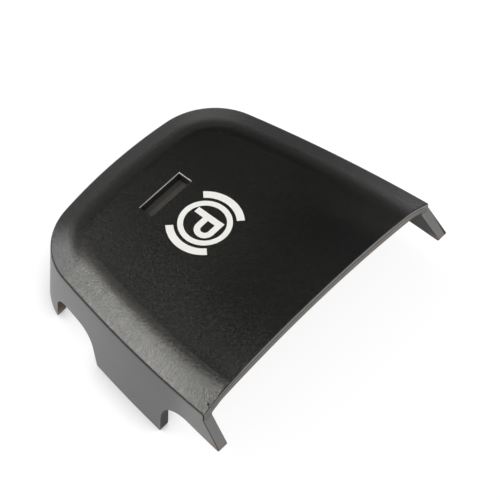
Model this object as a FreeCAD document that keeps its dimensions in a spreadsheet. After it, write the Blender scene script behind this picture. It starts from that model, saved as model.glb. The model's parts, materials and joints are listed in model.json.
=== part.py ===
"""Button cap of an electric parking brake switch, with its indicator lens.

Millimetres.  X runs across the cap, Y towards its open front end, Z up.  The
origin lies on the floor the cap rests on, under the middle of its length.
"""

import FreeCAD, Part
import math
import os

import Sketcher
from FreeCAD import Vector

# Every independent size once, in millimetres and degrees

SIZES = [
    ("widest_half", 21.09, "half width where the side walls run parallel"),
    ("widest_y", 27.6, "station of that width, ahead of the cap"),
    ("side_radius", 180.0, "plan radius of the side walls"),
    ("rear_y", -18.2, "rear wall on the centre line"),
    ("rear_radius", 73.5, "plan radius of the rear wall"),
    ("corner_radius", 9.45, "plan radius of the rear corners on the floor"),
    ("blank_height", 18.0, "height of the untrimmed form"),
    ("flare", 3.7, "lean of the walls, wider at the bottom"),
    ("wall", 1.35, "thickness of the skirt"),
    ("roof", 1.35, "thickness under the crown"),
    ("crown_lead", 1.24, "crown section 1: station ahead of the leg tips"),
    ("crown_top_1", 15.05, "crown section 1: height on the centre line"),
    ("crown_bend_1", 71.0, "crown section 1: radius"),
    ("crown_y_2", 10.0, "crown section 2: station"),
    ("crown_top_2", 12.46, "crown section 2: height on the centre line"),
    ("crown_bend_2", 203.0, "crown section 2: radius"),
    ("crown_y_3", 1.0, "crown section 3: station"),
    ("crown_top_3", 11.15, "crown section 3: height on the centre line"),
    ("crown_bend_3", 2000.0, "crown section 3: radius"),
    ("crown_y_4", -8.0, "crown section 4: station"),
    ("crown_top_4", 10.84, "crown section 4: height on the centre line"),
    ("crown_bend_4", 1000.0, "crown section 4: radius"),
    ("crown_lag", 1.8, "crown section 5: station behind the rear wall"),
    ("crown_top_5", 9.95, "crown section 5: height on the centre line"),
    ("crown_bend_5", 333.0, "crown section 5: radius"),
    ("band_drop", 1.0, "outer shoulder band down the wall"),
    ("band_reach", 3.3, "outer shoulder band across the crown"),
    ("band_blend", 8.0, "rounding between outer band and crown"),
    ("inner_drop", 0.45, "inner shoulder band down the wall"),
    ("inner_reach", 1.6, "inner shoulder band across the crown"),
    ("inner_blend", 3.0, "rounding between inner band and crown"),
    ("crease_round", 0.3, "rounding of the crease under the band"),
    ("face_y", 15.66, "front face of the shell"),
    ("kink_drop", 2.1, "start of the forward lean of the legs below the sharp corner"),
    ("leg_tip_y", 18.76, "sharp tip of the legs"),
    ("leg_tip_z", 6.3, "sharp tip of the legs"),
    ("leg_round", 0.35, "rounding of the leg tips"),
    ("notch_z", 6.9, "ceiling of the front notches"),
    ("notch_round", 4.2, "rounding between front notch and lug"),
    ("lug_front_y", 8.5, "front end of the lugs"),
    ("lug_rear_y", -3.3, "rear end of the lugs on the floor"),
    ("lug_lean", 17.8, "lean of the rear end of the lugs"),
    ("lug_corner", 0.25, "rounding of the lower corners of the lugs"),
    ("gate_z", 4.8, "ceiling of the rear notches"),
    ("gate_lug_round", 3.0, "rounding between rear notch and lug"),
    ("gate_rear_round", 2.0, "rounding between rear notch and rear skirt"),
    ("skirt_front_y", -11.5, "front ends of the rear skirt"),
    ("skirt_z", 0.6, "lower edge of the rear skirt above the floor"),
    ("slot_y", -8.82, "middle of the window slot"),
    ("slot_long", 6.94, "length of the slot across the cap"),
    ("slot_wide", 1.93, "width of the slot"),
    ("slot_round", 0.12, "rounding of the upper rim of the slot"),
    ("seat_z", 9.46, "flat seat of the lens"),
    ("lens_long", 14.0, "length of the lens across the cap"),
    ("lens_wide", 4.6, "width of the lens"),
    ("lens_thick", 1.2, "thickness of the lens"),
    ("lens_corner", 0.8, "plan rounding of the lens"),
    ("lens_gap", 0.12, "clearance round the lens"),
    ("frame_wall", 0.9, "thickness of the frame round the lens"),
    ("frame_lip", 0.26, "frame below the lens"),
    ("stake_inset", 1.65, "middle of the heat stakes inside the ends of the lens"),
    ("stake_round", 0.75, "radius of the stakes"),
    ("stake_gap", 0.1, "clearance between stake and lens"),
    ("head_round", 1.45, "radius of the formed heads"),
    ("head_thick", 0.7, "height of the formed heads"),
    ("rib_x", 10.6, "distance of the guide ribs from the middle"),
    ("rib_thick", 1.0, "thickness of the guide ribs"),
    ("rib_rear_y", -14.0, "rear end of the guide ribs"),
    ("rib_front_y", 12.5, "front end of the guide ribs"),
    ("rib_z", 8.0, "lower edge of the guide ribs"),
    ("nose_top", 2.6, "catch face of the latch noses"),
    ("nose_lip", 2.1, "end of the ramp of the latch noses"),
    ("nose_low", 0.7, "start of the ramp of the latch noses"),
    ("nose_long", 5.0, "length of the latch noses"),
    ("nose_depth", 1.1, "latch noses proud of the wall"),
    ("nose_reach", 0.9, "ramp of the latch noses"),
    ("lip_round", 0.2, "rounding of the front edge of the crown"),
    ("beyond", 1.0, "how far cutters run past the form"),
]

DERIVED = [
    ("side_centre_x", "=widest_half - side_radius"),
    ("rear_centre_y", "=rear_y + rear_radius"),
    ("floor_z", "=0 - beyond"),
    ("blank_front_y", "=leg_tip_y + crown_lead / 2"),
    ("crown_y_1", "=leg_tip_y + crown_lead"),
    ("crown_y_5", "=rear_y - crown_lag"),
    ("crown_half", "=widest_half + 2 * beyond"),
    ("front_end_y", "=crown_y_1 + beyond"),
    ("rear_end_y", "=crown_y_5 - beyond"),
    ("leg_kink_z", "=crown_top_1 - widest_half ^ 2 / (2 * crown_bend_1) - kink_drop"),
    ("notch_front_y", "=lug_front_y + notch_round"),
    ("notch_low_z", "=notch_z - notch_round"),
    ("gate_tangent_z", "=gate_z - gate_lug_round * (1 - sin(lug_lean * 1deg))"),
    ("gate_tangent_y", "=lug_rear_y - gate_tangent_z * tan(lug_lean * 1deg)"),
    ("gate_lug_y", "=gate_tangent_y - gate_lug_round * cos(lug_lean * 1deg)"),
    ("gate_floor_y", "=lug_rear_y + beyond * tan(lug_lean * 1deg)"),
    ("gate_rear_y", "=skirt_front_y + gate_rear_round"),
    ("gate_low_z", "=gate_z - gate_rear_round"),
    ("lid_z", "=blank_height + 2 * beyond"),
    ("lens_low_z", "=seat_z - lens_thick"),
    ("frame_z", "=lens_low_z - frame_lip"),
    ("lens_x", "=lens_long / 2"),
    ("stake_x", "=lens_x - stake_inset"),
    ("lens_rear_y", "=slot_y - lens_wide / 2"),
    ("lens_front_y", "=slot_y + lens_wide / 2"),
    ("room_x", "=lens_x + lens_gap"),
    ("room_rear_y", "=lens_rear_y - lens_gap"),
    ("room_front_y", "=lens_front_y + lens_gap"),
    ("frame_x", "=room_x + frame_wall"),
    ("frame_rear_y", "=room_rear_y - frame_wall"),
    ("frame_front_y", "=room_front_y + frame_wall"),
    ("slot_x", "=slot_long / 2"),
    ("slot_rear_y", "=slot_y - slot_wide / 2"),
    ("slot_front_y", "=slot_y + slot_wide / 2"),
    ("stake_hole", "=stake_round + stake_gap"),
    ("head_low_z", "=lens_low_z - head_thick"),
    ("rib_inner_x", "=rib_x - rib_thick / 2"),
    ("rib_outer_x", "=rib_x + rib_thick / 2"),
    ("nose_y", "=(lug_front_y + lug_rear_y) / 2"),
    ("nose_wall_x", "=widest_half - (widest_y - nose_y) ^ 2 / (2 * side_radius) - wall"),
    ("nose_root", "=nose_wall_x + wall / 3"),
    ("nose_x", "=nose_wall_x - nose_depth"),
    ("nose_ramp_x", "=nose_x + nose_reach"),
    ("rear_nose_root", "=rear_y + 2 * wall / 3"),
    ("rear_nose_y", "=rear_y + wall + nose_depth"),
    ("rear_nose_ramp_y", "=rear_nose_y - nose_reach"),
]

document = FreeCAD.newDocument("button_cap")
sheet = document.addObject("Spreadsheet::Sheet", "Sizes")
for row, (alias, value, note) in enumerate(SIZES, start=1):
    sheet.set(f"A{row}", note)
    sheet.set(f"B{row}", str(value))
    sheet.setAlias(f"B{row}", alias)
for row, (alias, formula) in enumerate(DERIVED, start=1):
    sheet.set(f"D{row}", formula)
    sheet.setAlias(f"D{row}", alias)
document.recompute()


def size(name):
    """Value of a size; a leading minus mirrors it."""
    if name.startswith("-"):
        return -float(sheet.get(name[1:]))
    return float(sheet.get(name))


def cell(name):
    """The same size as an expression."""
    if name.startswith("-"):
        return "-Sizes." + name[1:]
    return "Sizes." + name


def plane(body, role):
    """One of the origin planes of a body."""
    return next(item for item in body.Origin.OriginFeatures if item.Role == role)


def new_sketch(body, name, role, lift=""):
    """Empty sketch on an origin plane, lifted along its normal."""
    sketch = body.newObject("Sketcher::SketchObject", name)
    sketch.AttachmentSupport = (plane(body, role), [""])
    sketch.MapMode = "FlatFace"
    if lift:
        sketch.setExpression("AttachmentOffset.Base.z", lift)
    return sketch


def dimension(sketch, kind, where, value, expression):
    """Dimension that follows an expression."""
    index = sketch.addConstraint(Sketcher.Constraint(kind, *where, value))
    sketch.setExpression(f"Constraints[{index}]", expression)


def arc(centre, radius, start, end):
    """Arc of a circle, counter-clockwise from start to end."""
    first = math.atan2(start.y - centre.y, start.x - centre.x)
    last = math.atan2(end.y - centre.y, end.x - centre.x)
    if last < first:
        last += 2 * math.pi
    return Part.ArcOfCircle(Part.Circle(centre, Vector(0, 0, 1), radius), first, last)


def draw(sketch, path):
    """Closed outline through corners (x, y), all of them size names.

    A corner may name a radius as well: the stretch that leaves it is then an
    arc with its centre to the left of the way.
    """
    corners = [Vector(size(step[0]), size(step[1]), 0) for step in path]
    first = sketch.GeometryCount
    ends = []
    for number, step in enumerate(path):
        start = corners[number]
        end = corners[(number + 1) % len(path)]
        if len(step) == 2:
            sketch.addGeometry(Part.LineSegment(start, end))
            ends.append((1, 2))
            continue
        radius = size(step[2])
        half = (end - start) / 2
        left = Vector(-half.y, half.x, 0).normalize()
        depth = math.sqrt(max(radius**2 - half.Length**2, 0))
        centre = (start + end) / 2 + left * depth
        sketch.addGeometry(arc(centre, radius, start, end))
        ends.append((1, 2))
        dimension(sketch, "Radius", (first + number,), radius, cell(step[2]))
    for number, step in enumerate(path):
        after = (number + 1) % len(path)
        joint = (first + number, ends[number][1], first + after, ends[after][0])
        sketch.addConstraint(Sketcher.Constraint("Coincident", *joint))
        for axis, name in (("DistanceX", step[0]), ("DistanceY", step[1])):
            where = (-1, 1, first + number, ends[number][0])
            dimension(sketch, axis, where, size(name), cell(name))


def draw_circle(sketch, x, y, radius):
    """Circle with its centre and radius given as size names."""
    index = sketch.GeometryCount
    centre = Vector(size(x), size(y), 0)
    sketch.addGeometry(Part.Circle(centre, Vector(0, 0, 1), size(radius)))
    dimension(sketch, "DistanceX", (-1, 1, index, 3), size(x), cell(x))
    dimension(sketch, "DistanceY", (-1, 1, index, 3), size(y), cell(y))
    dimension(sketch, "Radius", (index,), size(radius), cell(radius))


def rectangle(x_low, x_high, y_low, y_high):
    """Path of a rectangle between size names."""
    return [(x_low, y_low), (x_high, y_low), (x_high, y_high), (x_low, y_high)]


def draw_plan(sketch, inset):
    """Plan outline: front line, side arcs, corner arcs and rear arc, all inset alike."""
    less = size(inset) if inset else 0
    front = size("blank_front_y")
    side = Vector(size("side_centre_x"), size("widest_y"), 0)
    rear = Vector(0, size("rear_centre_y"), 0)
    side_radius = size("side_radius") - less
    rear_radius = size("rear_radius") - less
    corner_radius = size("corner_radius") - less
    near_side = side_radius - corner_radius
    near_rear = rear_radius - corner_radius
    apart = rear - side
    along = (near_side**2 - near_rear**2 + apart.Length**2) / (2 * apart.Length)
    across = math.sqrt(near_side**2 - along**2)
    unit = apart.normalize()
    corner = side + unit * along + Vector(unit.y, -unit.x, 0) * across
    side_end = side + (corner - side).normalize() * side_radius
    rear_end = rear + (corner - rear).normalize() * rear_radius
    front_end = Vector(side.x + math.sqrt(side_radius**2 - (front - side.y) ** 2), front, 0)

    def across_x(point):
        return Vector(-point.x, point.y, 0)

    sketch.addGeometry(Part.LineSegment(front_end, across_x(front_end)))
    sketch.addGeometry(arc(side, side_radius, side_end, front_end))
    sketch.addGeometry(arc(across_x(side), side_radius, across_x(front_end), across_x(side_end)))
    sketch.addGeometry(arc(rear, rear_radius, across_x(rear_end), rear_end))
    sketch.addGeometry(arc(corner, corner_radius, rear_end, side_end))
    sketch.addGeometry(arc(across_x(corner), corner_radius, across_x(side_end), across_x(rear_end)))
    for joint in ((0, 1, 1, 2), (0, 2, 2, 1)):
        sketch.addConstraint(Sketcher.Constraint("Coincident", *joint))
    for joint in ((1, 1, 4, 2), (4, 1, 3, 2), (3, 1, 5, 2), (5, 1, 2, 2)):
        sketch.addConstraint(Sketcher.Constraint("Tangent", *joint))
    inwards = f" - Sizes.{inset}" if inset else ""
    for end in (1, 2):
        dimension(sketch, "DistanceY", (-1, 1, 0, end), front, "Sizes.blank_front_y")
    for index, x in ((1, "side_centre_x"), (2, "-side_centre_x")):
        dimension(sketch, "DistanceX", (-1, 1, index, 3), size(x), cell(x))
        dimension(sketch, "DistanceY", (-1, 1, index, 3), size("widest_y"), "Sizes.widest_y")
        dimension(sketch, "Radius", (index,), side_radius, "Sizes.side_radius" + inwards)
        corner_cell = "Sizes.corner_radius" + inwards
        dimension(sketch, "Radius", (index + 3,), corner_radius, corner_cell)
    sketch.addConstraint(Sketcher.Constraint("PointOnObject", 3, 3, -2))
    dimension(sketch, "DistanceY", (-1, 1, 3, 3), rear.y, "Sizes.rear_centre_y")
    dimension(sketch, "Radius", (3,), rear_radius, "Sizes.rear_radius" + inwards)


def edge_at(feature, x, y, z):
    """Name of the edge nearest to a point."""
    spot = Part.Vertex(Vector(x, y, z))
    edges = feature.Shape.Edges
    order = sorted(range(len(edges)), key=lambda item: edges[item].distToShape(spot)[0])
    return f"Edge{order[0] + 1}"


def wall_x(y, z):
    """Distance of the outer side wall from the middle at a station and height."""
    narrower = (size("widest_y") - y) ** 2 / (2 * size("side_radius"))
    lean = z * math.tan(math.radians(size("flare")))
    return size("widest_half") - narrower - lean


def set_all(feature, **expressions):
    for name, expression in expressions.items():
        feature.setExpression(name, expression)


def cut_across(body, name, sketch, length="4 * Sizes.widest_half"):
    """Cut an outline to both sides of its plane."""
    cut = body.newObject("PartDesign::Pocket", name)
    cut.Profile = sketch
    cut.Midplane = True
    cut.setExpression("Length", length)
    return cut


def cut_up(body, name, sketch, length="Sizes.blank_height"):
    """Cut an outline upwards from its plane."""
    cut = body.newObject("PartDesign::Pocket", name)
    cut.Profile = sketch
    cut.Reversed = True
    cut.setExpression("Length", length)
    return cut


def crowned_form(name, inset, drop, band_drop, band_reach, band_blend):
    """Solid under the crown: flared plan, rounded rear corners, shoulder band.

    The outer form and the hollow are the same shape; the hollow is inset by
    the wall and lowered by the roof.
    """
    body = document.addObject("PartDesign::Body", name)
    body.Label = name
    plan = new_sketch(body, name + "_plan", "XY_Plane")
    draw_plan(plan, inset)
    block = body.newObject("PartDesign::Pad", name + "_block")
    block.Profile = plan
    set_all(block, Length="Sizes.blank_height")
    document.recompute()

    upright = [
        f"Face{number}"
        for number, face in enumerate(block.Shape.Faces, start=1)
        if abs(face.normalAt(0, 0).z) < 0.5
    ]
    walls = body.newObject("PartDesign::Draft", name + "_walls")
    walls.Base = (block, upright)
    walls.NeutralPlane = (plane(body, "XY_Plane"), [""])
    set_all(walls, Angle="Sizes.flare")
    document.recompute()

    lowered = f" - Sizes.{drop}" if drop else ""
    sections = []
    for number in range(1, 6):
        section = new_sketch(
            body, f"{name}_crown_{number}", "XZ_Plane", f"-Sizes.crown_y_{number}"
        )
        half = size("crown_half")
        top = size(f"crown_top_{number}") - (size(drop) if drop else 0)
        bend = size(f"crown_bend_{number}") - (size(drop) if drop else 0)
        centre = Vector(0, top - bend, 0)
        edge_z = centre.y + math.sqrt(bend**2 - half**2)
        lid = size("lid_z")
        right = Vector(half, edge_z, 0)
        left = Vector(-half, edge_z, 0)
        left_lid = Vector(-half, lid, 0)
        right_lid = Vector(half, lid, 0)
        section.addGeometry(arc(centre, bend, right, left))
        section.addGeometry(Part.LineSegment(left, left_lid))
        section.addGeometry(Part.LineSegment(left_lid, right_lid))
        section.addGeometry(Part.LineSegment(right_lid, right))
        for joint in ((0, 2, 1, 1), (1, 2, 2, 1), (2, 2, 3, 1), (3, 2, 0, 1)):
            section.addConstraint(Sketcher.Constraint("Coincident", *joint))
        section.addConstraint(Sketcher.Constraint("Vertical", 1))
        section.addConstraint(Sketcher.Constraint("Vertical", 3))
        section.addConstraint(Sketcher.Constraint("Horizontal", 2))
        section.addConstraint(Sketcher.Constraint("PointOnObject", 0, 3, -2))
        bend_cell = f"Sizes.crown_bend_{number}{lowered}"
        centre_cell = f"Sizes.crown_top_{number} - Sizes.crown_bend_{number}"
        dimension(section, "Radius", (0,), bend, bend_cell)
        dimension(section, "DistanceY", (-1, 1, 0, 3), centre.y, centre_cell)
        dimension(section, "DistanceX", (-1, 1, 0, 1), half, "Sizes.crown_half")
        dimension(section, "DistanceX", (-1, 1, 0, 2), -half, "-Sizes.crown_half")
        dimension(section, "DistanceY", (-1, 1, 2, 1), lid, "Sizes.lid_z")
        sections.append(section)
    crown = body.newObject("PartDesign::SubtractiveLoft", name + "_crown")
    crown.Profile = sections[0]
    crown.Sections = [(section, [""]) for section in sections[1:]]
    document.recompute()

    top_z = size("crown_top_3") - (size(drop) if drop else 0)
    side_x = wall_x(0, top_z) - (size(inset) if inset else 0)
    band = body.newObject("PartDesign::Chamfer", name + "_band")
    band.Base = (crown, [edge_at(crown, side_x, 0, top_z)])
    band.ChamferType = "Two distances"
    band.FlipDirection = True
    set_all(band, Size="Sizes." + band_drop, Size2="Sizes." + band_reach)
    document.recompute()

    blend = body.newObject("PartDesign::Fillet", name + "_blend")
    inner_x = side_x - size(band_reach)
    blend.Base = (band, [edge_at(band, inner_x, 0, top_z)])
    set_all(blend, Radius="Sizes." + band_blend)
    document.recompute()
    return body, blend


# The outer form and the hollow that is taken out of it

shell, shell_form = crowned_form(
    "button_cap", "", "", "band_drop", "band_reach", "band_blend"
)
hollow, hollow_form = crowned_form(
    "hollow", "wall", "roof", "inner_drop", "inner_reach", "inner_blend"
)

# What is cut out of the hollow stays on the cap: seat and frame of the lens

seat = new_sketch(hollow, "seat_outline", "XY_Plane", "Sizes.seat_z")
draw(seat, rectangle("-frame_x", "frame_x", "frame_rear_y", "frame_front_y"))
cut_up(hollow, "seat", seat)

frame = new_sketch(hollow, "frame_outline", "XY_Plane", "Sizes.frame_z")
draw(frame, rectangle("-frame_x", "frame_x", "frame_rear_y", "frame_front_y"))
draw(frame, rectangle("-room_x", "room_x", "room_rear_y", "room_front_y"))
cut_up(hollow, "frame", frame)

# Heat stakes through the lens, with their formed heads

for name, low, radius, height in (
    ("stakes", "lens_low_z", "stake_round", "Sizes.lens_thick + Sizes.roof"),
    ("heads", "head_low_z", "head_round", "Sizes.head_thick"),
):
    outline = new_sketch(hollow, name + "_outline", "XY_Plane", cell(low))
    draw_circle(outline, "stake_x", "slot_y", radius)
    draw_circle(outline, "-stake_x", "slot_y", radius)
    cut_up(hollow, name, outline, height)

# Guide ribs under the crown

ribs = new_sketch(hollow, "rib_outline", "XY_Plane", "Sizes.rib_z")
draw(ribs, rectangle("rib_inner_x", "rib_outer_x", "rib_rear_y", "rib_front_y"))
draw(ribs, rectangle("-rib_outer_x", "-rib_inner_x", "rib_rear_y", "rib_front_y"))
cut_up(hollow, "ribs", ribs)

# Latch noses inside both lugs and inside the rear wall

noses = new_sketch(hollow, "nose_outline", "XZ_Plane", "-Sizes.nose_y")
draw(
    noses,
    [
        ("nose_root", "nose_top"),
        ("nose_x", "nose_top"),
        ("nose_x", "nose_lip"),
        ("nose_ramp_x", "nose_low"),
        ("nose_root", "nose_low"),
    ],
)
draw(
    noses,
    [
        ("-nose_root", "nose_low"),
        ("-nose_ramp_x", "nose_low"),
        ("-nose_x", "nose_lip"),
        ("-nose_x", "nose_top"),
        ("-nose_root", "nose_top"),
    ],
)
cut_across(hollow, "noses", noses, "Sizes.nose_long")

rear_nose = new_sketch(hollow, "rear_nose_outline", "YZ_Plane")
draw(
    rear_nose,
    [
        ("rear_nose_root", "nose_top"),
        ("rear_nose_root", "nose_low"),
        ("rear_nose_ramp_y", "nose_low"),
        ("rear_nose_y", "nose_lip"),
        ("rear_nose_y", "nose_top"),
    ],
)
cut_across(hollow, "rear_nose", rear_nose, "Sizes.nose_long")
document.recompute()

hollowed = document.addObject("PartDesign::Boolean", "hollowed")
shell.addObject(hollowed)
hollowed.setObjects([hollow])
hollowed.Type = "Cut"
document.recompute()

# Room of the lens, with the stakes standing in it

room = new_sketch(shell, "room_outline", "XY_Plane", "Sizes.lens_low_z")
draw(room, rectangle("-room_x", "room_x", "room_rear_y", "room_front_y"))
draw_circle(room, "stake_x", "slot_y", "stake_round")
draw_circle(room, "-stake_x", "slot_y", "stake_round")
cut_up(shell, "room", room, "Sizes.lens_thick")

# Side view: open front end, leaning legs, notches, lugs and rear skirt

front = new_sketch(shell, "front_outline", "YZ_Plane")
draw(
    front,
    [
        ("face_y", "lid_z"),
        ("face_y", "leg_kink_z"),
        ("leg_tip_y", "leg_tip_z"),
        ("notch_front_y", "notch_z", "notch_round"),
        ("lug_front_y", "notch_low_z"),
        ("lug_front_y", "floor_z"),
        ("front_end_y", "floor_z"),
        ("front_end_y", "lid_z"),
    ],
)
cut_across(shell, "front_opening", front)

gates = new_sketch(shell, "gate_outline", "YZ_Plane")
draw(
    gates,
    [
        ("gate_floor_y", "floor_z"),
        ("gate_tangent_y", "gate_tangent_z", "gate_lug_round"),
        ("gate_lug_y", "gate_z"),
        ("gate_rear_y", "gate_z", "gate_rear_round"),
        ("skirt_front_y", "gate_low_z"),
        ("skirt_front_y", "skirt_z"),
        ("rear_end_y", "skirt_z"),
        ("rear_end_y", "floor_z"),
    ],
)
cut_across(shell, "gates", gates)

# Window slot down to the lens

slot = new_sketch(shell, "slot_outline", "XY_Plane", "Sizes.seat_z")
draw(slot, rectangle("-slot_x", "slot_x", "slot_rear_y", "slot_front_y"))
slotted = cut_up(shell, "slot", slot)
document.recompute()

# Roundings of the leg tips, the lugs, the crease, the front lip and the slot rim


def round_edges(body, name, base, spots, radius):
    """Rounding of the edges nearest to a few points."""
    fillet = body.newObject("PartDesign::Fillet", name)
    fillet.Base = (base, sorted({edge_at(base, *spot) for spot in spots}))
    fillet.setExpression("Radius", radius)
    document.recompute()
    return fillet


def mirrored(x, y, z):
    return [(x, y, z), (-x, y, z)]


def in_side_walls(y, z):
    """Points in the middle of both side walls."""
    return mirrored(wall_x(y, z) - size("wall") / 2, y, z)


tips = round_edges(
    shell,
    "leg_tips",
    slotted,
    in_side_walls(size("leg_tip_y"), size("leg_tip_z")),
    "Sizes.leg_round",
)
lugs = round_edges(
    shell,
    "lug_corners",
    tips,
    in_side_walls(size("lug_front_y"), 0) + in_side_walls(size("lug_rear_y"), 0),
    "Sizes.lug_corner",
)
crease_z = size("crown_top_3") - size("band_drop")
crease = round_edges(
    shell,
    "crease",
    lugs,
    [(wall_x(0, crease_z), 0, crease_z)],
    "Sizes.crease_round",
)
lip = round_edges(
    shell,
    "front_lip",
    crease,
    [(0, size("face_y"), size("lid_z"))],
    "Sizes.lip_round",
)
round_edges(
    shell,
    "slot_rim",
    lip,
    [
        (0, size("slot_rear_y"), size("lid_z")),
        (0, size("slot_front_y"), size("lid_z")),
        *mirrored(size("slot_x"), size("slot_y"), size("lid_z")),
    ],
    "Sizes.slot_round",
)

# Indicator lens, held between seat and heads

lens = document.addObject("PartDesign::Body", "indicator_lens")
lens.Label = "indicator_lens"
plate = new_sketch(lens, "lens_outline", "XY_Plane", "Sizes.lens_low_z")
draw(plate, rectangle("-lens_x", "lens_x", "lens_rear_y", "lens_front_y"))
draw_circle(plate, "stake_x", "slot_y", "stake_hole")
draw_circle(plate, "-stake_x", "slot_y", "stake_hole")
slab = lens.newObject("PartDesign::Pad", "lens_slab")
slab.Profile = plate
slab.setExpression("Length", "Sizes.lens_thick")
document.recompute()
middle_z = size("seat_z") - size("lens_thick") / 2
round_edges(
    lens,
    "lens_corners",
    slab,
    mirrored(size("lens_x"), size("lens_rear_y"), middle_z)
    + mirrored(size("lens_x"), size("lens_front_y"), middle_z),
    "Sizes.lens_corner",
)

# Every piece whole, then written out

for item in document.Objects:
    if "Invalid" in item.State or "Error" in item.State:
        raise RuntimeError(f"{item.Name}: {item.State}")
os.makedirs("parts", exist_ok=True)
for body in (shell, lens):
    shape = body.Shape
    if shape.isNull() or not shape.isValid() or len(shape.Solids) != 1:
        raise RuntimeError(f"{body.Label}: shape is not one valid solid")
    shape.exportStep(f"parts/{body.Label}.step")
    print(body.Label, "volume", round(shape.Volume, 1))
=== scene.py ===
# %% [markdown]
# # Button cap of an electric parking brake switch
# The solids come from the CAD model: a crowned cap moulded in black plastic, and
# the smoked lens under its window slot.  This script adds what the solids leave
# out: the two finishes of the moulding, the printed function symbol, a pale
# floor, soft studio light and the camera.

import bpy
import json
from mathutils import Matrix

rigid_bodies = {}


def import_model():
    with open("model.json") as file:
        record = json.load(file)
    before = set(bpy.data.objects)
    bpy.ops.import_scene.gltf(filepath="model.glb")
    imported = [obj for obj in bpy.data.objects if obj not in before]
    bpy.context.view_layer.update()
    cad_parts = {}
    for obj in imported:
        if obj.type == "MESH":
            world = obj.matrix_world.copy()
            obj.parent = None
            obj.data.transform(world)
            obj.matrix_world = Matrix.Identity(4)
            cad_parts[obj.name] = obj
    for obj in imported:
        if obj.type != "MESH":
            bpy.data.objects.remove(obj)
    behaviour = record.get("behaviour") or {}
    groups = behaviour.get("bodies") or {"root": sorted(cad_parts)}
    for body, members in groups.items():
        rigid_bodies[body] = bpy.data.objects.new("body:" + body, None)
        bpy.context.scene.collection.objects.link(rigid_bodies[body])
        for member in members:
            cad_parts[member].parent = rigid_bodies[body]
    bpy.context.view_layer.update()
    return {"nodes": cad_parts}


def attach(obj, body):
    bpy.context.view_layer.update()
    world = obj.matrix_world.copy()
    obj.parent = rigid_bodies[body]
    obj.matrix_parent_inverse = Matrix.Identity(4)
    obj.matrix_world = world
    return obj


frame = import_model()
print("solids:", sorted(frame["nodes"]))

# %% Helpers used by all steps
import json
import math

import bpy
from mathutils import Matrix, Vector

MM = 0.001
cap = frame["nodes"]["button_cap"]
lens = frame["nodes"]["indicator_lens"]


def deselect_all():
    for item in bpy.context.scene.objects:
        item.select_set(False)


# %% [markdown]
# ## Writing materials as sums
# A material is a net of nodes.  Written by hand it gets long, so one class wraps
# a node's output: adding or multiplying two of them adds the Math node.  Any
# other node comes from one method that takes its type, settings and inputs.


# %% A class for shader maths
class Value:
    """Output of a node that sums and products can be written with."""

    def __init__(self, net, socket):
        self.net = net
        self.socket = socket

    def math(self, operation, *others, swapped=False):
        parts = [self, *others]
        if swapped:
            parts.reverse()
        inputs = dict(enumerate(parts))
        return self.net.add("ShaderNodeMath", {"operation": operation}, inputs)

    def __add__(self, other):
        return self.math("ADD", other)

    def __sub__(self, other):
        return self.math("SUBTRACT", other)

    def __rsub__(self, other):
        return self.math("SUBTRACT", other, swapped=True)

    def __mul__(self, other):
        return self.math("MULTIPLY", other)

    __radd__ = __add__
    __rmul__ = __mul__

    def ramp(self, start, end):
        """0 before start, 1 after end, smooth between; start may be the larger."""
        inputs = {"Value": self, "From Min": start, "From Max": end}
        settings = {"interpolation_type": "SMOOTHSTEP"}
        return self.net.add("ShaderNodeMapRange", settings, inputs)


# %% A class for a net of nodes
class Net:
    """Nodes of a material or a world, with an output to link them to."""

    def __init__(self, owner, output_kind):
        owner.use_nodes = True
        self.tree = owner.node_tree
        self.tree.nodes.clear()
        self.output = self.tree.nodes.new(output_kind)

    def add(self, kind, settings=None, inputs=None, output=0):
        node = self.tree.nodes.new(kind)
        for name, value in (settings or {}).items():
            setattr(node, name, value)
        for name, value in (inputs or {}).items():
            if isinstance(value, Value):
                self.tree.links.new(value.socket, node.inputs[name])
            else:
                node.inputs[name].default_value = value
        return Value(self, node.outputs[output])

    def show(self, value):
        """Link a value to the output's surface."""
        self.tree.links.new(value.socket, self.output.inputs["Surface"])

    def axis(self, vector, name):
        return self.add("ShaderNodeSeparateXYZ", inputs={0: vector}, output=name)


# %% A class for a finish
class Finish(Net):
    """Material of one finish, with the outputs most patterns start from."""

    def __init__(self, name):
        self.material = bpy.data.materials.new(name)
        super().__init__(self.material, "ShaderNodeOutputMaterial")

    def place(self):
        """Object coordinates in millimetres and the surface normal."""
        coordinates = self.add("ShaderNodeTexCoord", output="Object")
        normal = Value(self, coordinates.socket.node.outputs["Normal"])
        settings = {"operation": "SCALE"}
        inputs = {0: coordinates, "Scale": 1 / MM}
        return self.add("ShaderNodeVectorMath", settings, inputs), normal

    def noise(self, place, pitch, detail=2.0, roughness=0.5):
        """Noise whose grains are about one pitch apart, in millimetres."""
        inputs = {"Vector": place, "Scale": 1 / pitch, "Detail": detail}
        inputs["Roughness"] = roughness
        return self.add("ShaderNodeTexNoise", inputs=inputs)

    def blend(self, factor, first, second):
        """Colour that goes from the first to the second."""
        inputs = {0: factor, 6: first, 7: second}
        return self.add("ShaderNodeMix", {"data_type": "RGBA"}, inputs, 2)

    def bump(self, height, depth_mm):
        inputs = {"Height": height, "Distance": depth_mm * MM, "Strength": 1.0}
        return self.add("ShaderNodeBump", inputs=inputs)

    def surface(self, **inputs):
        """Principled shader on the output; underscores stand for spaces."""
        inputs = {name.replace("_", " "): value for name, value in inputs.items()}
        self.show(self.add("ShaderNodeBsdfPrincipled", inputs=inputs))
        return self.material


def wear(piece, material):
    """Give a piece one material on all its faces."""
    piece.data.materials.clear()
    piece.data.materials.append(material)


print("helpers ready")

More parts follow.
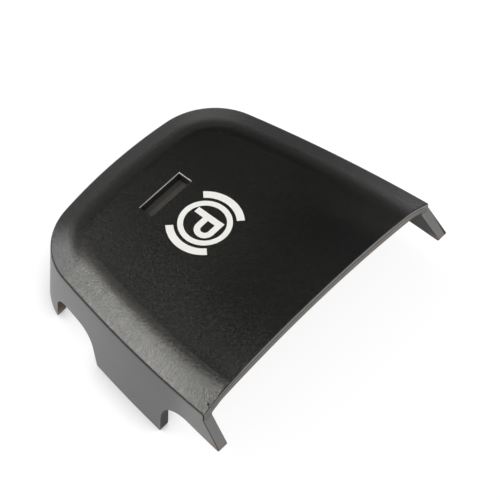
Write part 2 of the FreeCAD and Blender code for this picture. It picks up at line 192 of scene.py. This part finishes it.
# %% [markdown]
# ## Where things are on the moulding
# The cap is one moulding of dark grey plastic with a satin skin on the skirt.
# Its crown and shoulder band look blacker and finer grained, so they are given a
# coat, its end faces have a brownish cast, and dark lines of painted shade run in
# the creases.
# Faces could be picked one by one for separate materials, but then each border
# would be hard.  So one material finds each zone from where a point lies and
# which way it faces.  A border is a pair: where its zone is absent, where full.

# %% Places and directions
moulding = Finish("black_moulding")
place, normal = moulding.place()
across, along, height = (moulding.axis(place, name) for name in "XYZ")
facing_near, facing_front, facing_up = (moulding.axis(normal, name) for name in "XYZ")
half = across.math("ABSOLUTE")
facing_side = facing_near.math("ABSOLUTE")
print("places in mm, directions as parts of the normal")

# %% Crown and front faces
COAT_FACING = (0.55, 0.8)
COAT_Z = (8.2, 8.6)
LEG_Y = (15.5, 15.62)
LEG_Z = (11.1, 10.9)
FRONT_FACING = (0.5, 0.7)
INWARD = (-2.0, -8.0)

on_leg = along.ramp(*LEG_Y) * height.ramp(*LEG_Z)
on_coat = facing_up.ramp(*COAT_FACING) * height.ramp(*COAT_Z)
on_crown = on_coat - on_coat * on_leg
on_front = facing_front.ramp(*FRONT_FACING)
inward = (facing_near * across).ramp(*INWARD)
print("crown and front faces found")

# %% Rim of the front arch
# The crown ends at the front in an arc with a straight slope on either side.
ARC_TOP = 13.78
ARC_FALL = 0.00495
SLOPE_LOW = 11.45
SLOPE_RISE = 0.466
SLOPE_END = 18.7
SLOPE_BLEND = 0.8
RIM_Y = (15.2, 15.4)
RIM_HALF = (18.9, 18.7)
RIM_DEPTH = (1.6, 1.4)
RIM_SHADE_UPPER = (0.2, 0.28)
RIM_SHADE_LOWER = (0.42, 0.34)
LIP_FACING = (0.25, 0.4)
LIP_DEPTH = (0.16, 0.1)
LIP_HALF = (15.0, 12.0)

arc = ARC_TOP - ARC_FALL * across * across
slope = SLOPE_LOW + SLOPE_RISE * (SLOPE_END - half)
below_top = arc.math("SMOOTH_MIN", slope, SLOPE_BLEND) - height
on_rim = along.ramp(*RIM_Y) * half.ramp(*RIM_HALF) * below_top.ramp(*RIM_DEPTH)
# Painted shade: a dark line runs on the front face just under the rim's top edge.
rim_shade_line = on_rim * below_top.ramp(*RIM_SHADE_UPPER) * below_top.ramp(*RIM_SHADE_LOWER)
# The lip at the rim's top edge gets a painted highlight.
rim_lip = on_rim * facing_front.ramp(*LIP_FACING) * below_top.ramp(*LIP_DEPTH)
rim_lip = rim_lip * half.ramp(*LIP_HALF)
print("rim found, its crest at", ARC_TOP, "mm")

# %% Crease between shoulder band and skirt
CREASE_FACING_LOW = (0.05, 0.2)
CREASE_FACING_HIGH = (0.9, 0.75)
CREASE_Z = (7.0, 7.4)
CREASE_Y = (15.5, 15.3)
NEAR_CREASE_X = (6.0, 9.0)
FAR_CREASE_X = (2.0, 0.0)

in_crease = facing_up.ramp(*CREASE_FACING_LOW) * facing_up.ramp(*CREASE_FACING_HIGH)
in_crease = in_crease * height.ramp(*CREASE_Z) * along.ramp(*CREASE_Y)
near_crease = in_crease * across.ramp(*NEAR_CREASE_X)
far_crease = in_crease * across.ramp(*FAR_CREASE_X)
print("crease found")

# %% Edges and tips of the legs
# The leg faces lean back in one plane; all other front faces stand upright.
LEAN_Y = 0.75
LEAN_Z = 0.66
LEG_REACH = (17.93, 18.05)
LEG_LINE_Y = (15.3, 15.5)
LEG_LINE_Z = (11.6, 11.4)
FRONT_LINE_Y = (15.4, 15.5)
FRONT_LINE_Z = (9.6, 9.8)
OUTER_HALF = (19.5, 19.7)
OUTER_FACING = (0.6, 0.8)
BORDER_Z = (9.9, 9.7)
BORDER_OUTER = (20.0, 20.12)
BORDER_INNER = (19.02, 18.92)
FAR_LEG_X = (0.0, -1.0)
TIP_Z = (7.3, 6.9)
TIP_Y = (16.5, 17.2)

leg_reach = LEAN_Y * along + LEAN_Z * height
leg_line = leg_reach.ramp(*LEG_REACH) * along.ramp(*LEG_LINE_Y) * height.ramp(*LEG_LINE_Z)
front_line = along.ramp(*FRONT_LINE_Y) * height.ramp(*FRONT_LINE_Z)
facing_out = facing_side * half.ramp(*OUTER_HALF)
corner_line = (leg_line + front_line).math("MINIMUM", 1.0) * facing_out.ramp(*OUTER_FACING)
far_border = on_leg * on_front * height.ramp(*BORDER_Z) * across.ramp(*FAR_LEG_X)
leg_outer = far_border * half.ramp(*BORDER_OUTER)
leg_inner = far_border * half.ramp(*BORDER_INNER)
leg_tip = height.ramp(*TIP_Z) * along.ramp(*TIP_Y)
print("legs found")

# %% Window slot
SLOT_Z = (8.6, 8.8)
SLOT_HALF = (3.75, 3.65)
SLOT_REAR = (-10.05, -9.95)
SLOT_FRONT = (-7.6, -7.7)
WALL_FACING = (0.3, 0.15)
RIM_FACING_LOW = (0.1, 0.3)
RIM_FACING_HIGH = (0.98, 0.93)
LIT_FACING = (0.1, 0.3)

by_slot = height.ramp(*SLOT_Z) * half.ramp(*SLOT_HALF)
by_slot = by_slot * along.ramp(*SLOT_REAR) * along.ramp(*SLOT_FRONT)
in_slot = by_slot * facing_up.ramp(*WALL_FACING)
slot_rim = by_slot * facing_up.ramp(*RIM_FACING_LOW) * facing_up.ramp(*RIM_FACING_HIGH)
slot_rim = slot_rim * (facing_near + facing_front).ramp(*LIT_FACING)
print("slot found")

# %% [markdown]
# ## Skin, coat and grain of the moulding
# The skirt is satin plastic, and the coat is nearly black with tiny paler grains.
# The real plastic is probably one even colour.  In the photo the skirt gets paler
# to the rear and the coat to the near side, more than these few lamps make them,
# so the colours carry part of that.  They are blended zone by zone, from the
# large faces down to the thin edges, and the grain is noise.

# %% Grain
FINE_PITCH = 0.24
FINE_ROUGHNESS = 0.6
COARSE_PITCH = 0.9
SPECKLE_PITCH = 0.3
SPECKLE = (0.42, 0.72)
FINE = (0.3, 0.7)

fine = moulding.noise(place, FINE_PITCH, roughness=FINE_ROUGHNESS)
coarse = moulding.noise(place, COARSE_PITCH)
speckle = moulding.noise(place, SPECKLE_PITCH).ramp(*SPECKLE)
print("grain about", FINE_PITCH, "mm apart")

# %% Skirt
SKIRT_REAR_PAINTED_LIGHT = (0.150, 0.151, 0.155, 1)
SKIRT_FRONT = (0.070, 0.071, 0.074, 1)
SKIRT_CORNER_PAINTED_LIGHT = (0.130, 0.131, 0.130, 1)
INNER = (0.028, 0.028, 0.026, 1)
REARWARDS = (8.0, -13.0)
CORNER_Y = (9.5, 13.5)

# Painted light: the skirt's colour gets paler towards the rear and again at the front corner.
skin = moulding.blend(along.ramp(*REARWARDS), SKIRT_FRONT, SKIRT_REAR_PAINTED_LIGHT)
skin = moulding.blend(along.ramp(*CORNER_Y), skin, SKIRT_CORNER_PAINTED_LIGHT)
# Painted shade: faces turned inwards, under the cap, are coloured nearly black.
skin = moulding.blend(inward, skin, INNER)
print("skirt coloured")

# %% End faces
END_FACE = (0.108, 0.103, 0.094, 1)
END_FACE_FAR_PAINTED_LIGHT = (0.150, 0.144, 0.134, 1)
LUG_END_PAINTED_SHADE = (0.006, 0.003, 0.001, 1)
REAR_END_PAINTED_SHADE = (0.030, 0.017, 0.010, 1)
REAR_TIP = (0.150, 0.090, 0.055, 1)
LEG_FACE = (0.090, 0.093, 0.084, 1)
BROWN = (0.110, 0.078, 0.058, 1)
LINE = (0.010, 0.010, 0.010, 1)
FAR_END_X = (-11.0, -16.0)
REAR_HALF_Y = (-3.0, -4.0)
REAR_TIP_Z = (2.0, 0.9)
REAR_TOP_Z = (3.0, 3.5)
REAR_INSIDE = (15.6, 15.2)
LUG_END_Z = (6.5, 4.5)
LUG_END_Y = (14.0, 13.0)
LUG_START_Y = (-4.0, -3.0)
BROWN_DEPTH = (0.72, 0.85)

at_rear = along.ramp(*REAR_HALF_Y)
rear_end = moulding.blend(height.ramp(*REAR_TIP_Z), REAR_END_PAINTED_SHADE, REAR_TIP)
rear_end = moulding.blend(height.ramp(*REAR_TOP_Z), rear_end, SKIRT_REAR_PAINTED_LIGHT)
lug_end = height.ramp(*LUG_END_Z) * along.ramp(*LUG_END_Y) * along.ramp(*LUG_START_Y)

# Painted light and shade: the end faces get paler towards the far side, while the lug's end,
# the middle of the rear end and the rear end's inner faces, in shade under the cap, are
# coloured nearly black.
end_face = moulding.blend(across.ramp(*FAR_END_X), END_FACE, END_FACE_FAR_PAINTED_LIGHT)
end_face = moulding.blend(at_rear, end_face, rear_end)
end_face = moulding.blend(at_rear * half.ramp(*REAR_INSIDE), end_face, INNER)
end_face = moulding.blend(lug_end, end_face, LUG_END_PAINTED_SHADE)
end_face = moulding.blend(on_leg, end_face, LEG_FACE)
end_face = moulding.blend(on_rim * below_top.ramp(*BROWN_DEPTH), end_face, BROWN)
end_face = moulding.blend(rim_shade_line, end_face, LINE)
skin = moulding.blend(on_front, skin, end_face)
print("end faces coloured")

# %% Coat of the crown
COAT_DARK = (0.0018, 0.0020, 0.0016, 1)
COAT_PALE = (0.0240, 0.0245, 0.0225, 1)
COAT_BEND = (0.0240, 0.0240, 0.0225, 1)
GRAIN_LEAST = 0.22
GRAIN_MIDDLE = 0.18
GRAIN_MIDDLE_X = (-8.0, 2.0)
GRAIN_NEAR = 0.6
GRAIN_NEAR_X = (3.0, 12.0)
SHEEN_MIDDLE = 0.12
SHEEN_MIDDLE_X = (-9.0, 1.0)
SHEEN_NEAR = 0.15
SHEEN_NEAR_X = (4.0, 12.0)
BEND_FLAT = (0.999, 0.985)
BEND_STEEP = (0.918, 0.945)
LIFT_REAR = 0.75
LIFT_REAR_Y = (-8.0, -12.0)
LIFT_FAR = 0.5
LIFT_FAR_X = (-9.0, -13.0)

# Painted sheen: from the far side through the middle to the near side, the coat's pale grains
# grow stronger and the whole coat paler.
grain = GRAIN_LEAST + GRAIN_MIDDLE * across.ramp(*GRAIN_MIDDLE_X)
grain = grain + GRAIN_NEAR * across.ramp(*GRAIN_NEAR_X)
near_sheen = SHEEN_MIDDLE * across.ramp(*SHEEN_MIDDLE_X) + SHEEN_NEAR * across.ramp(*SHEEN_NEAR_X)
coat = moulding.blend(speckle * grain + near_sheen, COAT_DARK, COAT_PALE)

# Where the crown bends into the rear and far band the photo stays paler than
# these lamps make it, so the colour is lifted there.
bend = facing_up.ramp(*BEND_FLAT) * facing_up.ramp(*BEND_STEEP)
lift = LIFT_REAR * along.ramp(*LIFT_REAR_Y) + LIFT_FAR * across.ramp(*LIFT_FAR_X)
coat = moulding.blend(bend * lift, coat, COAT_BEND)
print("coat coloured")

# %% Edges, tips and slot
# Painted light: paler along the far crease and on the inner part of the far leg's face.
FAR_SIDE_PAINTED_LIGHT = (0.12, 0.12, 0.118, 1)
# Painted highlight along the lip at the top of the front rim.
RIM_LIP_HIGHLIGHT = (0.13, 0.13, 0.125, 1)
# Painted highlight on the rounded rim of the slot, on the sides turned to the light.
SLOT_RIM_HIGHLIGHT = (0.42, 0.42, 0.41, 1)
# Painted shade on the walls of the slot.
SLOT_WALL_SHADE = (0.012, 0.011, 0.010, 1)

layers = (
    (leg_inner, FAR_SIDE_PAINTED_LIGHT),
    (on_crown, coat),
    (rim_lip, RIM_LIP_HIGHLIGHT),
    (far_crease, FAR_SIDE_PAINTED_LIGHT),
    (leg_tip, BROWN),
    (slot_rim, SLOT_RIM_HIGHLIGHT),
    (in_slot, SLOT_WALL_SHADE),
)
for zone, layer in layers:
    skin = moulding.blend(zone, skin, layer)
print(len(layers), "layers blended over the skin")

# %% Dark lines
# A speck lies at the near front corner, and lines follow the creases and edges;
# the line in the near crease and the one under the rim's top edge are painted
# shade.  They lose their gloss too, made a black metal, which mirrors next to nothing.
SPECK_PLACE = (18.71, 15.12, 11.41)
SPECK = (0.2, 0.14)
CREASE_DEPTH = 0.62
BORDER_DEPTH = 0.8

settings = {"operation": "DISTANCE"}
speck = moulding.add("ShaderNodeVectorMath", settings, {0: place, 1: SPECK_PLACE}, 1)
dark_line = CREASE_DEPTH * near_crease + corner_line + speck.ramp(*SPECK) + rim_shade_line
dark_line = (dark_line + BORDER_DEPTH * leg_outer).math("MINIMUM", 1.0)
colour = moulding.blend(dark_line, skin, LINE)
print("lines drawn")

# %% Gloss
# A share of black metal takes gloss away.  The near front of the band would
# mirror the key lamp too strongly, so it gets more of it, and a calmer grain.
CALM_OUTER = (17.8, 16.4)
CALM_INNER = (13.0, 16.0)
CALM_Y = (2.0, 13.0)
SMOOTH_X = (9.0, 13.0)
SMOOTH_Y = (1.0, 11.0)
SKIRT_ROUGHNESS = 0.42
COAT_ROUGHNESS = 0.2
UNEVEN_ROUGHNESS = 0.04
DULL = 0.04
DULL_GRAIN = 0.28
DULL_SMOOTH = 0.03
LINE_METAL = 0.85
CALM_METAL = 0.35
GRAIN_DEPTH = 0.02
SKIRT_RELIEF = 0.2
COAT_RELIEF = 0.8
SMOOTHED = 0.3

calm = across.ramp(*CALM_OUTER) * across.ramp(*CALM_INNER) * along.ramp(*CALM_Y) * on_crown
smooth = across.ramp(*SMOOTH_X) * along.ramp(*SMOOTH_Y)
dull = DULL + DULL_GRAIN * fine.ramp(*FINE) * (1 - SMOOTHED * smooth) + DULL_SMOOTH * smooth
relief = fine * (SKIRT_RELIEF + COAT_RELIEF * on_crown - SMOOTHED * smooth)
roughness = SKIRT_ROUGHNESS - (SKIRT_ROUGHNESS - COAT_ROUGHNESS) * on_crown
black_moulding = moulding.surface(
    Base_Color=colour,
    Metallic=LINE_METAL * dark_line + CALM_METAL * calm + dull * on_crown,
    Roughness=roughness + UNEVEN_ROUGHNESS * coarse,
    Specular_IOR_Level=1.0,
    Normal=moulding.bump(relief, GRAIN_DEPTH),
)
wear(cap, black_moulding)
print("cap wears", black_moulding.name)

# %% [markdown]
# ## The lens
# A smoked plate lies under the slot and lights up when the brake is on.  Clear
# smoked plastic could let light through, but nothing lies behind it here, so
# unlit it is made a dark grey, slightly cloudy solid.

# %% Finish of the lens
SMOKE_DARK = (0.075, 0.072, 0.064, 1)
SMOKE_PALE = (0.085, 0.082, 0.074, 1)
SMOKE_PITCH = 1.5
LENS_ROUGHNESS = 0.45
LENS_UNEVEN = 0.05

smoked = Finish("smoked_lens")
place, normal = smoked.place()
smoke = smoked.noise(place, SMOKE_PITCH)
smoked_lens = smoked.surface(
    Base_Color=smoked.blend(smoke, SMOKE_DARK, SMOKE_PALE),
    Roughness=LENS_ROUGHNESS + LENS_UNEVEN * smoke,
)
wear(lens, smoked_lens)
print("lens wears", smoked_lens.name)

# %% [markdown]
# ## The function symbol
# White ink is pad printed on the crown: a ring with a letter P, between two
# arcs.  A letter of a font would not have these proportions, so each stroke is
# drawn flat as a strip of small faces, then dropped onto the crown with a
# shrinkwrap and given the thickness of the ink.

# %% Measures of the symbol
RING = 3.366
SYMBOL_X = 0.04
SYMBOL_Y = -2.37
INK_THICK = 0.03
DRAW_Z = 20.0
WELD = 0.001
STROKE_STEPS = 3
symbol_centre = Vector((SYMBOL_X, SYMBOL_Y, DRAW_Z)) * MM


def on_symbol(right, up):
    """Point of the symbol in ring radii, as a place in metres."""
    return symbol_centre + Vector((right * RING, up * RING, 0)) * MM


print("symbol is drawn", DRAW_Z, "mm above the floor")


# %% Tools for a stroke
def pull(offset, steps):
    """Pull the selected vertex into an edge, or the selected edge into a strip."""
    for _ in range(steps):
        bpy.ops.mesh.extrude_region_move(TRANSFORM_OT_translate={"value": offset / steps})


def start_edge(name, first, last):
    """New piece that is one edge cut into steps, left in edit mode."""
    deselect_all()
    bpy.ops.mesh.primitive_plane_add(size=1, location=(0, 0, 0))
    piece = bpy.context.object
    piece.name = name
    bpy.ops.object.mode_set(mode="EDIT")
    bpy.ops.mesh.select_all(action="SELECT")
    bpy.ops.mesh.merge(type="CENTER")
    bpy.ops.transform.translate(value=first)
    pull(last - first, STROKE_STEPS)
    bpy.ops.mesh.select_all(action="SELECT")
    return piece


def turn(centre, angle, steps):
    """Sweep the selected edge round a centre, clockwise angles below zero."""
    angle = math.radians(angle)
    bpy.ops.mesh.spin(steps=steps, angle=angle, center=centre, axis=(0, 0, 1))


def leave_edit(piece):
    bpy.ops.mesh.select_all(action="SELECT")
    bpy.ops.mesh.remove_doubles(threshold=WELD * MM)
    bpy.ops.object.mode_set(mode="OBJECT")
    print(piece.name, "has", len(piece.data.polygons), "faces")
    return piece


# %% Ring and arcs
RING_INNER = 0.7786
RING_OUTER = 0.987
ARC_INNER = 1.1254
ARC_OUTER = 1.41
ARC_HALF = 45.1
RING_STEPS = 120
ARC_STEPS = 40

strokes = []
ring = start_edge("ring", on_symbol(RING_INNER, 0), on_symbol(RING_OUTER, 0))
turn(symbol_centre, -360, RING_STEPS)
strokes.append(leave_edit(ring))

for name, side in (("arc_right", 0), ("arc_left", 180)):
    start = math.radians(side - ARC_HALF)
    inner = on_symbol(ARC_INNER * math.cos(start), ARC_INNER * math.sin(start))
    outer = on_symbol(ARC_OUTER * math.cos(start), ARC_OUTER * math.sin(start))
    arc_stroke = start_edge(name, inner, outer)
    turn(symbol_centre, -2 * ARC_HALF, ARC_STEPS)
    strokes.append(leave_edit(arc_stroke))

# %% Letter
STEM_LEFT = -0.392
STEM_RIGHT = -0.14
STEM_LOW = -0.638
LETTER_TOP = 0.575
BOWL_ROUND = 0.3975
BOWL_X = 0.205
HOLE_TOP = 0.342
STEM_STEPS = 14
BOWL_STEPS = 20
FLAT_STEPS = 5

stem = start_edge("stem", on_symbol(STEM_LEFT, STEM_LOW), on_symbol(STEM_RIGHT, STEM_LOW))
pull(on_symbol(0, LETTER_TOP) - on_symbol(0, STEM_LOW), STEM_STEPS)
strokes.append(leave_edit(stem))

bowl_flat = on_symbol(BOWL_X, 0) - on_symbol(STEM_RIGHT, 0)
bowl = start_edge("bowl", on_symbol(STEM_RIGHT, LETTER_TOP), on_symbol(STEM_RIGHT, HOLE_TOP))
pull(bowl_flat, FLAT_STEPS)
turn(on_symbol(BOWL_X, LETTER_TOP - BOWL_ROUND), 180, BOWL_STEPS)
pull(-bowl_flat, FLAT_STEPS)
strokes.append(leave_edit(bowl))

# %% Join the strokes
deselect_all()
for stroke in strokes:
    stroke.select_set(True)
symbol = strokes[0]
bpy.context.view_layer.objects.active = symbol
bpy.ops.object.join()
symbol.name = "function_symbol"
symbol.data.name = "function_symbol"
bpy.ops.object.transform_apply(location=True, rotation=True, scale=True)
bpy.ops.object.mode_set(mode="EDIT")
bpy.ops.mesh.select_all(action="SELECT")
bpy.ops.mesh.remove_doubles(threshold=WELD * MM)
bpy.ops.mesh.normals_make_consistent(inside=False)
bpy.ops.object.mode_set(mode="OBJECT")
if symbol.data.polygons[0].normal.z < 0:
    symbol.data.flip_normals()
print("symbol has", len(symbol.data.polygons), "faces")

# %% Drop the symbol onto the crown
drop = symbol.modifiers.new("drop", "SHRINKWRAP")
drop.target = cap
drop.wrap_method = "PROJECT"
drop.use_project_z = True
drop.use_negative_direction = True
drop.use_positive_direction = False
bpy.ops.object.modifier_apply(modifier=drop.name)
ink = symbol.modifiers.new("ink", "SOLIDIFY")
ink.thickness = INK_THICK * MM
ink.offset = 1
bpy.ops.object.modifier_apply(modifier=ink.name)
tops = [v.co.z / MM for v in symbol.data.vertices]
print("symbol lies between", round(min(tops), 3), "and", round(max(tops), 3), "mm")

# %% Finish of the ink
INK_DARK = (0.93, 0.92, 0.88, 1)
INK_PALE = (0.98, 0.97, 0.935, 1)
INK_PITCH = 0.5
INK_DETAIL = 3.0
INK_ROUGHNESS = 0.55

printed = Finish("white_ink")
place, normal = printed.place()
cloud = printed.noise(place, INK_PITCH, INK_DETAIL)
white_ink = printed.surface(
    Base_Color=printed.blend(cloud, INK_DARK, INK_PALE),
    Roughness=INK_ROUGHNESS,
)
wear(symbol, white_ink)
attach(symbol, "root")
print("symbol printed")

# %% [markdown]
# ## Floor
# The cap lies on white paper that melts into a white background.  A plain white
# plane goes grey under soft light, so the camera sees most of it as a glow.  The
# rest still takes the cap's shadow, and close to the cap the glow fades away by
# ambient occlusion, a painted contact shadow.

# %% Floor
FLOOR_SIZE = 6
PAPER = (0.9, 0.9, 0.9, 1)
SHADE = (0.25, 0.25, 0.25, 1)
GLOW = 0.85
CONTACT = 6.0
OPEN_PART = (0.0, 0.92)
OPEN_SAMPLES = 16

deselect_all()
bpy.ops.mesh.primitive_plane_add(size=FLOOR_SIZE, location=(0, 0, 0))
floor = bpy.context.object
floor.name = "floor"
paper = Finish("white_paper")
diffuse = paper.add("ShaderNodeBsdfDiffuse", inputs={"Color": PAPER})
shade = paper.add("ShaderNodeBsdfDiffuse", inputs={"Color": SHADE})
glow = paper.add("ShaderNodeEmission", inputs={"Color": (1, 1, 1, 1), "Strength": GLOW})
both = paper.add("ShaderNodeAddShader", inputs={0: shade, 1: glow})
near_by = {"Distance": CONTACT * MM}
openness = paper.add("ShaderNodeAmbientOcclusion", {"samples": OPEN_SAMPLES}, near_by, "AO")
inputs = {0: openness.ramp(*OPEN_PART), 1: shade, 2: both}
glow_with_contact_shadow = paper.add("ShaderNodeMixShader", inputs=inputs)
path = paper.add("ShaderNodeLightPath", output="Is Camera Ray")
paper.show(paper.add("ShaderNodeMixShader", inputs={0: path, 1: diffuse, 2: glow_with_contact_shadow}))
wear(floor, paper.material)
print("floor laid")

# %% [markdown]
# ## Light
# The photo's crown is nearly black while its near shoulder band shines, so the
# light is a long soft box that the band mirrors towards the camera, in a studio
# that is brighter at the horizon and darker to the rear.  Directions are given
# as points of a disc: seen from straight above, all directions form a disc of
# radius one, with x to the near side of the cap and y to its front.


# %% Soft boxes
LAMP_AWAY = 2.0
WARM_WHITE = (1.0, 0.985, 0.92)


def softbox(name, x, y, half_width, half_length, turned, radiance):
    """Rectangular lamp that covers a box on the disc, turned by some degrees."""
    turned = math.radians(turned)

    def way(along_width, along_length):
        flat = Matrix.Rotation(turned, 2) @ Vector((along_width, along_length))
        flat = flat + Vector((x, y))
        if flat.length > 1:
            flat.normalize()
        return Vector((flat.x, flat.y, math.sqrt(max(0, 1 - flat.length_squared))))

    left, right = way(-half_width, 0), way(half_width, 0)
    low, high = way(0, -half_length), way(0, half_length)
    back = (left + right + low + high).normalized()
    side = right - left
    side = (side - back * side.dot(back)).normalized()
    data = bpy.data.lights.new(name, "AREA")
    data.shape = "RECTANGLE"
    data.size = 2 * LAMP_AWAY * math.tan(left.angle(right) / 2)
    data.size_y = 2 * LAMP_AWAY * math.tan(low.angle(high) / 2)
    data.energy = radiance * data.size * data.size_y * math.pi
    data.color = WARM_WHITE
    lamp = bpy.data.objects.new(name, data)
    bpy.context.collection.objects.link(lamp)
    turn_matrix = Matrix((side, back.cross(side), back)).transposed().to_4x4()
    lamp.matrix_world = Matrix.Translation(back * LAMP_AWAY) @ turn_matrix
    print(name, "measures", round(data.size, 2), "by", round(data.size_y, 2), "m")


softbox("key", 0.185, -0.465, half_width=0.25, half_length=0.039, turned=0.0, radiance=11.4)
softbox("key_wing", 0.052, -0.473, half_width=0.415, half_length=0.03, turned=4.0, radiance=1.6)

# %% Studio around the cap
STUDIO = 0.5
MORE_NEAR = 0.551
NEAR_LIMIT = 0.15
MORE_FRONT = 0.744
FRONT_LIMIT = 0.1
LESS_BOTH = 0.338
HORIZON = 2.049
HORIZON_HEIGHT = 0.35
DARKEST = 0.08
FAR_WALL = (-1.05, -0.78)

world = bpy.data.worlds.new("studio")
bpy.context.scene.world = world
sky = Net(world, "ShaderNodeOutputWorld")
way = sky.add("ShaderNodeTexCoord", output="Generated")
near_part, front_part, rise = (sky.axis(way, name) for name in "XYZ")
to_near = near_part.math("MINIMUM", NEAR_LIMIT)
to_front = front_part.math("MINIMUM", FRONT_LIMIT)
haze = (rise * (-1 / HORIZON_HEIGHT)).math("EXPONENT")
level = STUDIO + MORE_NEAR * to_near + MORE_FRONT * to_front + HORIZON * haze
level = level - LESS_BOTH * to_near * to_front
level = level.math("MAXIMUM", DARKEST) * near_part.ramp(*FAR_WALL)
print("studio level", STUDIO, "overhead")

# %% Panel to the rear and background
# The rear corner of the band mirrors a panel behind the cap.  It ends above the
# horizon, so that the crown doesn't mirror it in a low view from the front.
PANEL_X = 0.023
PANEL_Y = -0.855
PANEL_HALF_WIDTH = 0.102
PANEL_HALF_LENGTH = 0.299
PANEL_TURNED = math.radians(-35.0)
PANEL_RADIANCE = 3.1
PANEL_BORDER = 0.03
PANEL_RISE = (0.2, 0.4)

cosine, sine = math.cos(PANEL_TURNED), math.sin(PANEL_TURNED)
from_x, from_y = near_part - PANEL_X, front_part - PANEL_Y
width = (from_x * cosine + from_y * sine).math("ABSOLUTE")
length = (from_y * cosine - from_x * sine).math("ABSOLUTE")
panel = width.ramp(PANEL_HALF_WIDTH + PANEL_BORDER, PANEL_HALF_WIDTH - PANEL_BORDER)
panel = panel * length.ramp(PANEL_HALF_LENGTH + PANEL_BORDER, PANEL_HALF_LENGTH - PANEL_BORDER)
level = level + PANEL_RADIANCE * panel * rise.ramp(*PANEL_RISE)

seen = sky.add("ShaderNodeLightPath", output="Is Camera Ray")
level = level + (1 - level) * seen
sky.show(sky.add("ShaderNodeBackground", inputs={"Color": level, "Strength": 1.0}))
print("background white to the camera")

# %% [markdown]
# ## Camera
# The place, direction and lens were solved from the photo's outline of the cap.

# %% Camera
CAMERA_PLACE = Vector((137.58, 127.46, 277.07)) * MM
LOOK = Vector((-0.42627, -0.38015, -0.82084))
UP = Vector((-0.61262, -0.54633, 0.57116))
LENS = 197.4
SENSOR = 36
NEAREST = 0.01

view = bpy.data.cameras.new("camera")
view.sensor_width = SENSOR
view.lens = LENS
view.clip_start = NEAREST
camera = bpy.data.objects.new("camera", view)
bpy.context.collection.objects.link(camera)
right = LOOK.cross(UP).normalized()
axes = Matrix((right, right.cross(LOOK).normalized(), -LOOK)).transposed().to_4x4()
camera.matrix_world = Matrix.Translation(CAMERA_PLACE) @ axes
bpy.context.scene.camera = camera
bpy.context.scene.view_settings.view_transform = "Standard"
print("camera at", [round(v / MM, 1) for v in CAMERA_PLACE])
